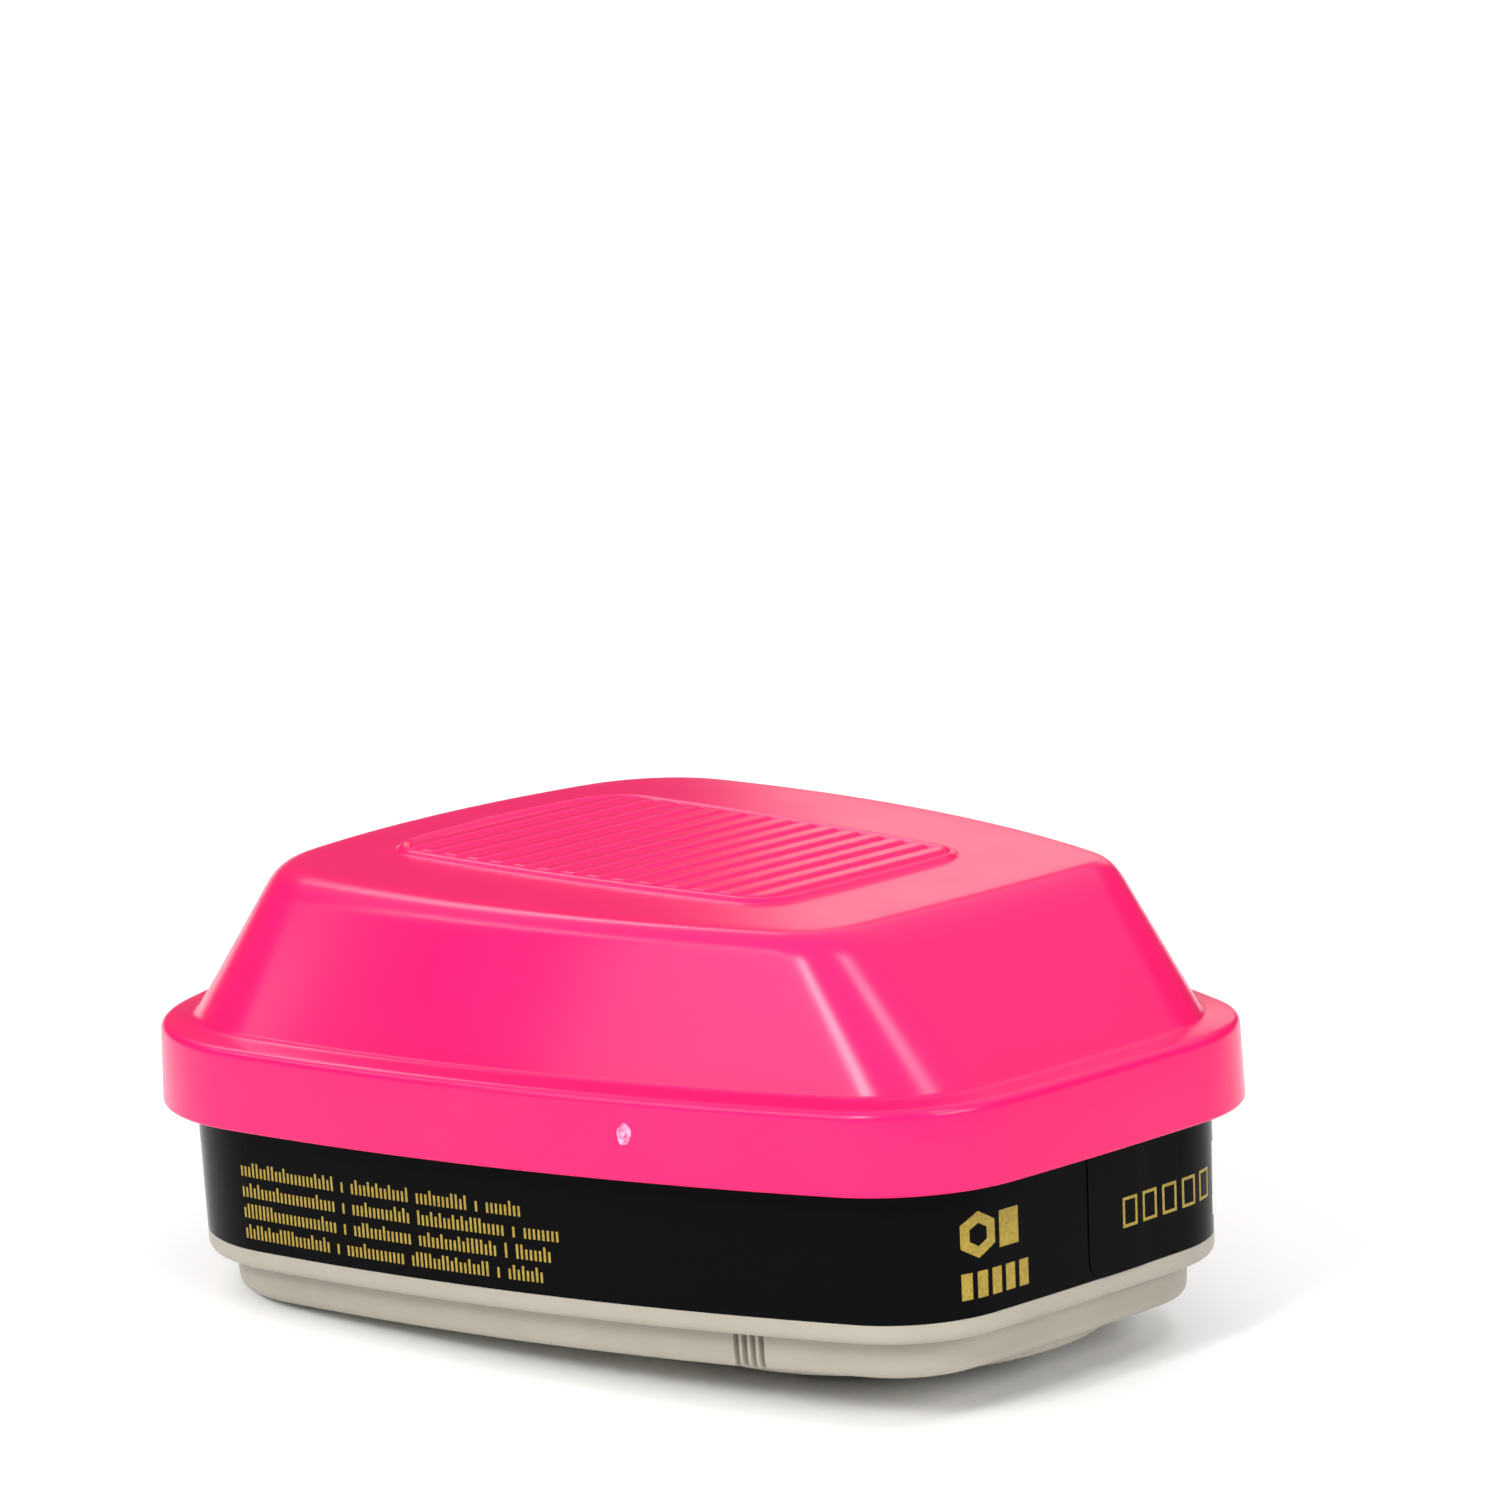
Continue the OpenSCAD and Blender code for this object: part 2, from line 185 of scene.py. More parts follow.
class Mesh:
    """Gathers points and faces, in millimetres, and makes one object of them."""

    def __init__(self):
        self.points = []
        self.faces = []
        self.slots = []
        self.count = 0

    def add_points(self, points):
        points = np.asarray(points, float)
        first = self.count
        self.points.append(points)
        self.count += len(points)
        return np.arange(first, self.count)

    def add_faces(self, faces, slot=0):
        faces = [tuple(int(i) for i in f) for f in faces]
        self.faces += faces
        self.slots += [slot] * len(faces)

    def bridge(self, a, b, slot=0, closed=True):
        """Quads between two equally long rows of point numbers."""
        n = len(a)
        last = n if closed else n - 1
        self.add_faces([(a[i], a[(i + 1) % n], b[(i + 1) % n], b[i]) for i in range(last)], slot)

    def rings(self, rings, slot=0, closed=True):
        """Surface through rows of points. Returns each row's point numbers."""
        rows = [self.add_points(r) for r in rings]
        for a, b in zip(rows, rows[1:]):
            self.bridge(a, b, slot, closed)
        return rows

    def fill(self, loops, slot=0, flip=False):
        """Flat face inside the first loop of point numbers and outside the others."""
        points = np.concatenate(self.points)
        order = [i for loop in loops for i in loop]
        for tri in tessellate_polygon([[Vector(points[i]) for i in loop] for loop in loops]):
            face = [order[i] for i in tri]
            a, b, c = (points[i] for i in face)
            up = np.cross(b - a, c - a)[2] > 0
            if up == flip:
                face.reverse()
            self.add_faces([face], slot)

    def build(self, name, materials, smooth_angle=40):
        data = bpy.data.meshes.new(name)
        points = np.concatenate(self.points) * MM
        data.from_pydata(points.tolist(), [], self.faces)
        for material in materials:
            data.materials.append(material)
        data.polygons.foreach_set("material_index", self.slots)
        data.validate()
        data.shade_smooth()
        data.set_sharp_from_angle(angle=math.radians(smooth_angle))
        piece = bpy.data.objects.new(name, data)
        bpy.context.scene.collection.objects.link(piece)
        return piece


def lift(points, z):
    """Flat points as 3-D points at height z."""
    return np.column_stack([points, np.broadcast_to(z, (len(points),))])


# A change of blend from 0 to 1 counts as this much length, since the dome leans in by about it
DOME_INSET = 11.0


def soft_path(stations, steps=6):
    """Path through stations, each (values..., reach): a corner is rounded over its reach.

    The values are a grow and a height, or a grow, a blend and a height. Radii count as a grow.
    """
    stations = [np.array(s, float) for s in stations]
    path = [stations[0][:-1]]
    for before, here, after in zip(stations, stations[1:], stations[2:]):
        corner, reach = here[:-1], here[-1]
        if reach == 0:
            path.append(corner)
            continue
        ends = []
        for other in (before[:-1], after[:-1]):
            away = other - corner
            blend = away[1] if len(away) == 3 else 0
            run = math.hypot(away[0] - DOME_INSET * blend, away[-1])
            ends.append(corner + away * min(0.49, reach / run))
        for t in np.linspace(0, 1, steps):
            path.append((1 - t) ** 2 * ends[0] + 2 * t * (1 - t) * corner + t**2 * ends[1])
    path.append(stations[-1][:-1])
    return path


def circle(radius, z, steps, x=0.0, y=0.0):
    """Points round a level circle about (x, y)."""
    angles = np.arange(steps) * 2 * math.pi / steps
    return lift(np.column_stack([x + radius * np.cos(angles), y + radius * np.sin(angles)]), z)


def closed_rings(mesh, rings):
    """Solid through level rings, the lowest first, with flat ends."""
    rows = mesh.rings(rings)
    mesh.fill([rows[0]], flip=True)
    mesh.fill([rows[-1]])


def border_of(rows):
    """Point numbers round the edge of a grid, from the rows of numbers that it is made of."""
    border = [r[0] for r in rows] + list(rows[-1][1:])
    return border + [r[-1] for r in rows[-2::-1]] + list(rows[0][-2:0:-1])


def smooth_step(low, high, value):
    t = np.clip((value - low) / (high - low), 0, 1)
    return t * t * (3 - 2 * t)


def bump(value, half_width):
    """Rounded bump of height 1 about zero."""
    return 0.5 + 0.5 * np.cos(np.pi * np.clip(value / half_width, -1, 1))


# ---------------------------------------------------------------- materials


class Nodes:
    """Short hand for building a Principled material."""

    def __init__(self, name, color, roughness, specular=0.5):
        self.material = bpy.data.materials.new(name)
        self.material.use_nodes = True
        self.tree = self.material.node_tree
        self.shader = self.tree.nodes["Principled BSDF"]
        self.set("Base Color", (*color, 1))
        self.set("Roughness", roughness)
        self.set("IOR", 1.5)
        self.set("Specular IOR Level", specular)
        self.coords = self.tree.nodes.new("ShaderNodeTexCoord").outputs["Object"]

    def set(self, socket, value):
        self.shader.inputs[socket].default_value = value

    def link(self, a, b):
        self.tree.links.new(a, b)

    def new(self, kind, **inputs):
        node = self.tree.nodes.new(kind)
        for key, value in inputs.items():
            node.inputs[key].default_value = value
        return node

    def scaled(self, scale):
        """Object coordinates scaled along each axis."""
        node = self.new("ShaderNodeMapping")
        node.inputs["Scale"].default_value = scale
        self.link(self.coords, node.inputs["Vector"])
        return node.outputs["Vector"]

    def noise(self, size_mm, detail, roughness=0.55, stretch=(1, 1, 1), distortion=0.0):
        """Noise whose features are about size_mm across."""
        node = self.new("ShaderNodeTexNoise", Scale=1.0, Detail=detail, Roughness=roughness,
                        Distortion=distortion)
        scale = 1 / (size_mm * MM)
        self.link(self.scaled(tuple(scale / s for s in stretch)), node.inputs["Vector"])
        return node.outputs["Fac"]

    def cells(self, size_mm):
        """Distance to the nearest of scattered points about size_mm apart."""
        node = self.new("ShaderNodeTexVoronoi", Scale=1.0)
        self.link(self.scaled((1 / (size_mm * MM),) * 3), node.inputs["Vector"])
        return node.outputs["Distance"]

    def ramp(self, value, low, high, out_low=0.0, out_high=1.0):
        """Maps low..high to out_low..out_high."""
        node = self.new("ShaderNodeMapRange")
        node.inputs["From Min"].default_value = low
        node.inputs["From Max"].default_value = high
        node.inputs["To Min"].default_value = out_low
        node.inputs["To Max"].default_value = out_high
        self.link(value, node.inputs["Value"])
        return node.outputs["Result"]

    def mix_color(self, factor, a, b):
        """Mix of two colours. Each is a tuple or another node's output."""
        node = self.tree.nodes.new("ShaderNodeMix")
        node.data_type = "RGBA"
        self.link(factor, node.inputs["Factor"])
        for socket, value in (("A", a), ("B", b)):
            target = [i for i in node.inputs if i.name == socket and i.type == "RGBA"][0]
            if isinstance(value, tuple):
                target.default_value = (*value, 1)
            else:
                self.link(value, target)
        return [o for o in node.outputs if o.type == "RGBA"][0]

    def color(self, output):
        self.link(output, self.shader.inputs["Base Color"])

    def roughness(self, output):
        self.link(output, self.shader.inputs["Roughness"])

    def bump(self, height, depth_mm, before=None):
        """Adds relief depth_mm deep, on top of the relief before."""
        node = self.new("ShaderNodeBump", Strength=1.0, Distance=depth_mm * MM)
        self.link(height, node.inputs["Height"])
        if before is not None:
            self.link(before, node.inputs["Normal"])
        self.link(node.outputs["Normal"], self.shader.inputs["Normal"])
        return node.outputs["Normal"]


def magenta_plastic():
    """Glossy cover plastic, with very slow changes of colour and gloss."""
    n = Nodes("magenta_plastic", (0.77, 0.009, 0.12), 0.23, specular=0.22)
    cloud = n.noise(22, detail=1)
    n.color(n.mix_color(n.ramp(cloud, 0.2, 0.8), (0.75, 0.0082, 0.115), (0.79, 0.0098, 0.126)))
    n.roughness(n.ramp(n.noise(8, detail=1), 0.15, 0.85, 0.205, 0.25))
    return n.material


def painted_highlight_magenta():
    """Cover plastic painted paler and patchy at the gate mark: a painted highlight."""
    n = Nodes("painted_highlight_magenta", (0.9, 0.16, 0.36), 0.3)
    n.color(n.mix_color(n.ramp(n.noise(0.5, detail=3), 0.35, 0.65), (0.88, 0.06, 0.24),
                        (0.92, 0.38, 0.55)))
    return n.material


def moulded_beige(name, grain_mm, grain_depth, roughness):
    """Beige moulding with a spark-eroded grain of the given size and depth."""
    tint = (0.335, 0.307, 0.25)
    n = Nodes(name, tint, roughness)
    dark = tuple(c * 0.95 for c in tint)
    light = tuple(c * 1.05 for c in tint)
    n.color(n.mix_color(n.ramp(n.noise(9, detail=3), 0.3, 0.7), dark, light))
    n.roughness(n.ramp(n.noise(0.6, detail=3), 0.35, 0.65, roughness - 0.07, roughness + 0.08))
    wide = n.bump(n.noise(5, detail=2), 0.008)
    n.bump(n.noise(grain_mm, detail=3, roughness=0.65), grain_depth, wide)
    return n.material


def label_film():
    """Black film that lies slightly wavy on the wall."""
    n = Nodes("label_film", (0.0022, 0.0022, 0.0025), 0.13, specular=0.03)
    n.roughness(n.ramp(n.noise(2.5, detail=4), 0.3, 0.7, 0.1, 0.2))
    wave = n.bump(n.noise(18, detail=1, stretch=(1, 1, 2)), 0.05)
    n.bump(n.noise(0.8, detail=3), 0.0015, wave)
    return n.material


def gold_ink():
    n = Nodes("gold_ink", (0.3, 0.21, 0.03), 0.4, specular=0.25)
    n.color(n.mix_color(n.ramp(n.noise(0.35, detail=3), 0.3, 0.7), (0.24, 0.165, 0.02),
                        (0.37, 0.27, 0.04)))
    return n.material


def plain_ink(name, color):
    n = Nodes(name, color, 0.4)
    dark = tuple(c * 0.9 for c in color)
    n.color(n.mix_color(n.ramp(n.noise(1.2, detail=3), 0.3, 0.7), dark, color))
    return n.material


def nonwoven(name, tint):
    """Matted white fibres: long thin streaks in several directions over soft dimples."""
    n = Nodes(name, tint, 0.85)
    n.set("Sheen Weight", 0.25)
    n.set("Sheen Roughness", 0.6)
    first = n.noise(0.28, detail=4, stretch=(9, 1, 1), distortion=1.2)
    second = n.noise(0.28, detail=4, stretch=(1, 9, 1), distortion=1.2)
    lumps = n.noise(1.8, detail=3)
    shade = n.mix_color(n.ramp(lumps, 0.3, 0.7), tuple(c * 0.86 for c in tint), tint)
    n.color(n.mix_color(n.ramp(first, 0.42, 0.7), shade, tuple(min(1, c * 1.08) for c in tint)))
    normal = n.bump(lumps, 0.25)
    normal = n.bump(first, 0.10, normal)
    n.bump(second, 0.10, normal)
    return n.material


def granules():
    """Packed carbon grains."""
    n = Nodes("carbon_granules", (0.012, 0.012, 0.013), 0.6)
    cells = n.cells(0.9)
    n.color(n.mix_color(n.ramp(cells, 0.1, 0.8), (0.03, 0.03, 0.032), (0.004, 0.004, 0.004)))
    n.bump(cells, 0.5)
    return n.material


def sealant_resin():
    n = Nodes("sealant_resin", (0.72, 0.64, 0.42), 0.35)
    n.color(n.mix_color(n.ramp(n.noise(4, detail=3), 0.3, 0.7), (0.66, 0.57, 0.36),
                        (0.76, 0.68, 0.47)))
    n.bump(n.noise(2.5, detail=2), 0.1)
    return n.material


MAGENTA = magenta_plastic()
# Paler magenta for the gate mark: a painted highlight
PAINTED_HIGHLIGHT_MAGENTA = painted_highlight_magenta()
SATIN_BEIGE = moulded_beige("satin_beige", 0.5, 0.003, 0.42)
GRAIN_BEIGE = moulded_beige("grain_beige", 0.32, 0.02, 0.46)
LABEL = label_film()
GOLD = gold_ink()
WHITE_INK = plain_ink("white_ink", (0.82, 0.82, 0.8))
GREY_INK = plain_ink("grey_ink", (0.05, 0.05, 0.05))
SCRIM = nonwoven("scrim_fibres", (0.80, 0.80, 0.79))
PLEATS = nonwoven("pleat_paper", (0.84, 0.83, 0.79))
CARBON = granules()
SEALANT = sealant_resin()


def finish_piece(piece, slot, *replaced):
    """Ties a visible piece to the body and hides the CAD nodes it stands for. The slot is not used.
    """
    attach(piece, "root")
    if replaced:
        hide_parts(*replaced)


# ---------------------------------------------------------------- cover

# How much further in the skirt is at its top than at its foot
SKIRT_LEAN = 0.28

PANEL_FRAME = 1.3
RIB_FIRST_X = 2.8
RIB_PITCH = 3.45
RIB_WIDTH = 2.1
GRIP_RIBS = 15
# Lowest and highest x of the flat patch that carries the panel, and its half width at each
PANEL_REACH = (-2.3, 55.4)
PANEL_HALVES = (15.9, 18.2)
# Points of the patch along X and across. Across, they are spaced as a sine is up to this angle in
# radians, so they are closer together near the sides
PANEL_GRID = (520, 170)
PANEL_CROWDING = 1.25

POST_PLACES = ((-26.8, 12), (-8, 29.8), (20, 36.3), (48, 39.6), (68, 26))
# Radius and height of a post's foot, the top of its bevel, and its top inside the shoulder
POST_RINGS = ((1.0, 29.35), (1.1, 29.45), (1.1, 30.4))

GATE_MARK_X = -0.2
GATE_MARK_Z = 27.3
GATE_MARK_WIDTH = 0.65
# Radius and height of the crater's rim and of the nub inside it
GATE_MARK_PROFILE = ((1.2, -0.05), (1.05, 0.04), (0.9, 0.17), (0.76, 0.2), (0.6, 0.08),
                     (0.45, 0.01), (0.34, 0.05), (0.24, 0.26), (0.1, 0.34))


def inside_depth(x, y, outline):
    """Distance inwards from an outline. Points outside it count as negative."""
    places = np.linspace(0, 10, 1200, endpoint=False)
    edge = outline.at(places)
    out = outline.normals(places)
    flat = np.column_stack([x.ravel(), y.ravel()])
    depth = np.empty(len(flat))
    batch = 4000
    for start in range(0, len(flat), batch):
        part = flat[start:start + batch]
        gap = part[:, None, :] - edge[None]
        nearest = (gap**2).sum(2).argmin(1)
        rows = np.arange(len(part))
        depth[start:start + batch] = -(gap[rows, nearest] * out[nearest]).sum(1)
    return depth.reshape(x.shape)


def panel_height(x, y):
    """Height of the grip panel's frame and ribs over the flat top of the dome.

    The frame is a rounded bead. The ribs are flat on top with soft flanks, and end at the frame.
    """
    inside = inside_depth(x, y, PANEL)
    bead = bump(inside - PANEL_FRAME / 2, PANEL_FRAME * 0.68) ** 0.8
    place = (x - RIB_FIRST_X) / RIB_PITCH
    nearest = np.clip(np.round(place), 0, GRIP_RIBS - 1)
    rib = 1 - smooth_step(RIB_WIDTH * 0.36, RIB_WIDTH * 0.66, np.abs(place - nearest) * RIB_PITCH)
    rib = rib * smooth_step(PANEL_FRAME * 0.75, PANEL_FRAME * 1.25, inside)
    return GRIP_HEIGHT * np.maximum(bead, rib)


def filter_cover():
    """Shell from the inside of its top, down and round the skirt's foot, and up to its top.

    Its stations are (grow, blend, z, reach).
    """
    places = even_places(0.9)
    inner_top = TOP_Z - COVER_WALL
    rise = TOP_Z - SHOULDER_Z
    inner_blend = (inner_top - SHOULDER_Z) / rise
    stations = [
        (-5, inner_blend, inner_top, 0),
        (-COVER_WALL, inner_blend, inner_top, 1.2),
        (-1.1 * COVER_WALL, 0.02, SHOULDER_Z + 0.3, 0.6),
        (-0.8, 0, SHOULDER_Z - COVER_WALL, 0.4),
        (SKIRT_OVERHANG - 1.2 * COVER_WALL, 0, SHOULDER_Z - COVER_WALL - 0.1, 0.7),
        (SKIRT_OVERHANG - 0.85 * COVER_WALL, 0, SKIRT_LOW, 0.25),
        (SKIRT_OVERHANG, 0, SKIRT_LOW, 0.45),
        (SKIRT_OVERHANG - SKIRT_LEAN, 0, SHOULDER_Z - 0.15, 0.9),
        (0.1, 0, SHOULDER_Z + 0.1, 0.9),
        (-0.25, 0, SHOULDER_Z + 0.35, 0.3),
        (0, 1, TOP_Z, 2.9),
        (-4, 1, TOP_Z, 0),
    ]
    mesh = Mesh()
    rows = mesh.rings([lift(blend_outline(places, b, g), z) for g, b, z in soft_path(stations, 8)])
    mesh.fill([rows[0]])
    columns, lines = PANEL_GRID
    x = np.linspace(*PANEL_REACH, columns)
    half = np.interp(x, PANEL_REACH, PANEL_HALVES)
    across = np.sin(np.linspace(-PANEL_CROWDING, PANEL_CROWDING, lines)) / math.sin(PANEL_CROWDING)
    grid_x = np.repeat(x[:, None], lines, 1)
    grid_y = half[:, None] * across[None, :]
    grid = np.stack([grid_x, grid_y, TOP_Z + panel_height(grid_x, grid_y)], 2)
    mesh.fill([rows[-1], border_of(mesh.rings(list(grid), closed=False))])
    cover_posts(mesh)
    piece = mesh.build("cover_shell", [MAGENTA], 50)
    finish_piece(piece, "magenta_plastic", "filter_cover")


def cover_posts(mesh):
    """Posts under the shoulder, which rest on the filter frame's flange."""
    for x, y in POST_PLACES:
        for side in (-1, 1):
            closed_rings(mesh, [circle(r, z, 24, x, side * y) for r, z in POST_RINGS])


def gate_mark():
    """Moulding gate on the skirt: a small crater with a torn nub."""
    mesh = Mesh()
    steps = 40
    angles = np.arange(steps) * 2 * math.pi / steps
    wobble = 1 + 0.10 * np.sin(2 * angles + 0.7) + 0.05 * np.sin(5 * angles)
    rings = [lift(np.column_stack([GATE_MARK_WIDTH * r * wobble * np.cos(angles),
                                   r * wobble * np.sin(angles)]), h)
             for r, h in GATE_MARK_PROFILE]
    rows = mesh.rings(rings)
    mesh.fill([rows[-1]])
    place = place_at_x(GATE_MARK_X, SKIRT_OVERHANG, 4001)
    lean = SKIRT_LEAN * (GATE_MARK_Z - SKIRT_LOW) / (SHOULDER_Z - SKIRT_LOW)
    middle = lift(CANISTER.at([place], SKIRT_OVERHANG - lean), GATE_MARK_Z)[0]
    out = np.array([*CANISTER.normals([place])[0], 0])
    along = np.array([-out[1], out[0], 0])
    up = np.array([0, 0, 1])
    points = np.concatenate(mesh.points)
    mesh.points = [middle + points[:, :1] * along + points[:, 1:2] * up + points[:, 2:] * out]
    # The whole mark uses the paler magenta, a painted highlight
    piece = mesh.build("skirt_gate_mark", [PAINTED_HIGHLIGHT_MAGENTA], 60)
    finish_piece(piece, "magenta_plastic")


# ---------------------------------------------------------------- canister, lid and frame

# How much the canister's wall leans out for each millimetre of height above the label's foot
DRAFT = 0.022
# The mesh of the canister's inside starts and ends at this height
SEAM_Z = 10

GRILLE_BAR = 1.4
GRILLE_SPACING = 6.5
GRILLE_X = 22.5
GRILLE_LOW = 26.4
GRILLE_HIGH = 27.7
GRILLE_BORDER = 5
# The grille has up to this many bars on each side of the middle one
GRILLE_SIDE_BARS = 9

# The visible grooves are softer and deeper than the CAD's half-round cuts
GROOVE_HALF_WIDTH = 0.31
GROOVE_DEPTH = 0.75

HUB_R = 2.5
SPOKE_HALF_WIDTH = 0.95

FLANGE_LOW = 28.3
FLANGE_HIGH = 29.3
# Outline of the wall round the pleats, between the canister's at 0 and the dome top's at 1
PLEAT_WALL_BLEND = 0.75


def on_wall(places, z, grow):
    """Points on the canister's drafted wall, standing off it by grow."""
    z = np.broadcast_to(z, (len(places),))
    return lift(CANISTER.at(places, grow + DRAFT * np.maximum(z - LABEL_LOW, 0)), z)


def walls(mesh, places, stations):
    """Surface of the canister's outline through (grow, z, reach) stations."""
    return mesh.rings([on_wall(places, z, g) for g, z in soft_path(stations)])


def canister():
    """Shell with a rim below the label, and a shallow seat for the label above it."""
    inner = -LABEL_THICKNESS - CANISTER_WALL
    seat = -LABEL_THICKNESS - 0.03
    stations = [
        (inner, SEAM_Z, 0),
        (inner, RIM_LOW, 0.2),
        (0, RIM_LOW, 1.7),
        (0, LABEL_LOW - 0.05, 0.08),
        (seat, LABEL_LOW, 0.05),
        (seat, CANISTER_HIGH, 0.1),
        (inner, CANISTER_HIGH, 0.1),
        (inner, SEAM_Z, 0),
    ]
    mesh = Mesh()
    walls(mesh, even_places(1.0), stations)
    piece = mesh.build("canister_shell", [SATIN_BEIGE], 50)
    finish_piece(piece, "body_plastic", "canister_body")


def half_width(x, grow):
    """Half width of the canister's outline at x, or zero outside it."""
    fine = CANISTER.at(np.linspace(0, 5, 2001), grow)
    return np.interp(x, fine[:, 0], fine[:, 1], left=0, right=0)


def box_faces(mesh, low, high):
    xs, ys, zs = zip(low, high)
    corners = mesh.add_points([(x, y, z) for x in xs for y in ys for z in zs])
    faces = ((0, 1, 3, 2), (4, 6, 7, 5), (0, 4, 5, 1), (2, 3, 7, 6), (0, 2, 6, 4), (1, 5, 7, 3))
    mesh.add_faces([[corners[i] for i in f] for f in faces])


def grille():
    """Inlet grille at the top of the canister: a border and crossed bars."""
    mesh = Mesh()
    outer = -LABEL_THICKNESS - CANISTER_WALL - 0.02
    border = outer - GRILLE_BORDER
    walls(mesh, even_places(2), [(outer, GRILLE_LOW, 0), (outer, GRILLE_HIGH, 0),
                                 (border, GRILLE_HIGH, 0), (border, GRILLE_LOW, 0),
                                 (outer, GRILLE_LOW, 0)])
    for i in range(-GRILLE_SIDE_BARS, GRILLE_SIDE_BARS + 1):
        x = GRILLE_X + i * GRILLE_SPACING
        reach = half_width(x, border)
        if reach > 1:
            box_faces(mesh, (x - GRILLE_BAR / 2, -reach, GRILLE_LOW),
                      (x + GRILLE_BAR / 2, reach, GRILLE_HIGH))
        y = i * GRILLE_SPACING
        fine = np.linspace(-30, 75, 2101)
        xs = fine[half_width(fine, border) > abs(y)]
        if len(xs):
            box_faces(mesh, (xs[0], y - GRILLE_BAR / 2, GRILLE_LOW + 0.1),
                      (xs[-1], y + GRILLE_BAR / 2, GRILLE_HIGH - 0.1))
    piece = mesh.build("inlet_grille", [SATIN_BEIGE])
    finish_piece(piece, "body_plastic")


def port_profile():
    """Boss, upper step, sealing bead and socket wall, then back under them to the boss's edge."""
    wall_top = SCRIM_LOW - 0.03
    under = BOSS_TOP_Z + 1.6
    return soft_path([
        (BOSS_R + 0.5, LID_FACE_Z, 0),
        (BOSS_R, LID_FACE_Z, 0.35),
        (BOSS_R - 0.55, BOSS_TOP_Z, 1.3),
        (STEP_R + 0.35, BOSS_TOP_Z, 0.45),
        (STEP_R, BEAD_HEIGHT, 0.4),
        (BEAD_R + 0.12, BEAD_HEIGHT, 0.12),
        (BEAD_R, 0.0, 0.16),
        (RING_SEAT_R + 0.02, 0.0, 0.16),
        (RING_SEAT_R, RING_HIGH + 0.05, 0.1),
        (SOCKET_R, RING_HIGH + 0.05, 0.1),
        (SOCKET_R, wall_top, 0),
        (SOCKET_R + 1.6, wall_top, 0),
        (SOCKET_R + 1.6, under, 0.6),
        (BOSS_R - 2.6, under, 0.6),
        (BOSS_R - 2.1, LID_FACE_Z + 1.6, 0),
    ], 7)


def gate_height(r):
    """Depth into (+) or height out of (-) the lid's face, by distance from its gate."""
    recess = 0.42 * (1 - smooth_step(0.9, 3.1, r)) + 0.05 * bump(r - 3.2, 0.5)
    nub = -0.5 * (1 - smooth_step(0.55, 1.05, r)) + 0.16 * (1 - smooth_step(0.0, 0.45, r))
    witness = 0.035 * bump(r - 7.8, 0.22)
    return recess + nub + witness


def back_lid():
    """Lid with its boss, socket and gate recess. The wall has grooves in one long side."""
    places = even_places(0.9, GROOVES_X, 2.6, 0.07)
    mesh = Mesh()
    inner = -LID_INSET - LID_WALL
    spigot = -LABEL_THICKNESS - CANISTER_WALL - 0.1
    stations = [
        (-LID_INSET - 2.2, LID_FACE_Z, 0),
        (-LID_INSET, LID_FACE_Z, 1.35),
        (-LID_INSET + 0.12, RIM_LOW, 0.35),
        (spigot, RIM_LOW, 0.1),
        (spigot, LABEL_LOW, 0),
        (inner, LABEL_LOW, 0),
        (inner, LID_FACE_Z + 1.6, 0.5),
        (inner - 1, LID_FACE_Z + 1.6, 0),
    ]
    outline = CANISTER.at(places)
    depth = np.zeros(len(places))
    for i in range(GROOVES):
        groove = GROOVES_X + (i - (GROOVES - 1) / 2) * GROOVE_PITCH
        depth += np.where(outline[:, 1] > 0, bump(outline[:, 0] - groove, GROOVE_HALF_WIDTH), 0)
    rings = []
    for g, z in soft_path(stations, 9):
        grooved = g > inner + 0.1 and z < RIM_LOW - 0.02
        rings.append(lift(CANISTER.at(places, g - GROOVE_DEPTH * depth if grooved else g), z))
    rows = mesh.rings(rings)
    port_rows = mesh.rings([circle(r, z, 160) for r, z in port_profile()])
    radii = np.concatenate([np.linspace(0.08, 3.9, 34), [5, 6.5, 7.3],
                            np.linspace(7.5, 8.1, 9), [8.6]])
    gate_rows = mesh.rings([circle(r, LID_FACE_Z + gate_height(r), 96, LID_GATE_X)
                            for r in radii], 1)
    mesh.fill([gate_rows[0]], 1, flip=True)
    mesh.fill([rows[0], port_rows[0], gate_rows[-1]], 1, flip=True)
    mesh.fill([rows[-1], port_rows[-1]])
    piece = mesh.build("lid_shell", [SATIN_BEIGE, GRAIN_BEIGE], 45)
    finish_piece(piece, "lid_plastic", "back_lid")


def spider():
    """Three spokes with rounded edges on a small three-cornered hub."""
    outline = []
    root, tip = HUB_R * 1.25, SOCKET_R + 0.2
    root_half, tip_half = SPOKE_HALF_WIDTH * 1.15, SPOKE_HALF_WIDTH * 0.8
    for i, angle in enumerate(SPOKE_ANGLES):
        here = math.radians(angle)
        following = math.radians(SPOKE_ANGLES[(i + 1) % 3] + (360 if i == 2 else 0))
        along = np.array([math.cos(here), math.sin(here)])
        across = np.array([-along[1], along[0]])
        outline += [along * root - across * root_half, along * tip - across * tip_half,
                    along * tip + across * tip_half, along * root + across * root_half]
        for t in (0.3, 0.5, 0.7):
            between = here + (following - here) * t
            outline.append(np.array([math.cos(between), math.sin(between)]) * HUB_R * 0.86)
    outline = np.array(outline)
    mesh = Mesh()
    closed_rings(mesh, [lift(outline, SPIDER_Z), lift(outline, SPIDER_Z + SPIDER_DEPTH)])
    piece = mesh.build("port_spider", [SATIN_BEIGE], 30)
    round_edges(piece, 0.25, 3)
    finish_piece(piece, "lid_plastic")


def round_edges(piece, radius_mm, segments):
    mod = piece.modifiers.new("rounded", "BEVEL")
    mod.width = radius_mm * MM
    mod.segments = segments
    mod.limit_method = "ANGLE"
    mod.angle_limit = math.radians(35)
    mod.harden_normals = True


